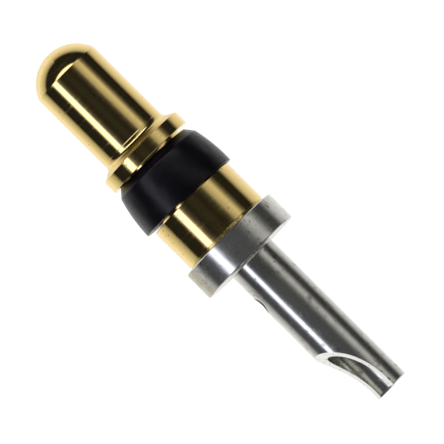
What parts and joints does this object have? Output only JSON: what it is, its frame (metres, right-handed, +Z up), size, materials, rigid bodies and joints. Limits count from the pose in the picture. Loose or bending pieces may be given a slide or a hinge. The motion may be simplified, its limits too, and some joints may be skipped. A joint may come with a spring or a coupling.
{
  "type": "d-sub power contact",
  "caption": "Plug power contact for a combination D connector: round gold pin, black snap-in ring, flange and scooped solder cup.",
  "frame": {"origin": "on the contact's axis, in the plane of the front face of the solder cup's flange, which is where the contact stops against the insulator", "axes": "X along the contact, -X towards the mating nose and +X towards the solder cup; Z up as it lies on a surface; the cup opens towards -Y, 67 degrees from up"},
  "size_m": [0.0223, 0.0054, 0.0054],
  "materials": {
    "gold_plate": "gold plating over turned brass, bright, with fine turning marks",
    "black_plastic": "moulded black plastic, satin",
    "bright_plate": "silver-grey plating over turned brass, satin, lightly scuffed"
  },
  "bodies": {
    "root": {"contact_pin": "gold_plate", "retention_ring": "black_plastic", "solder_cup": "bright_plate"}
  },
  "joints": []
}
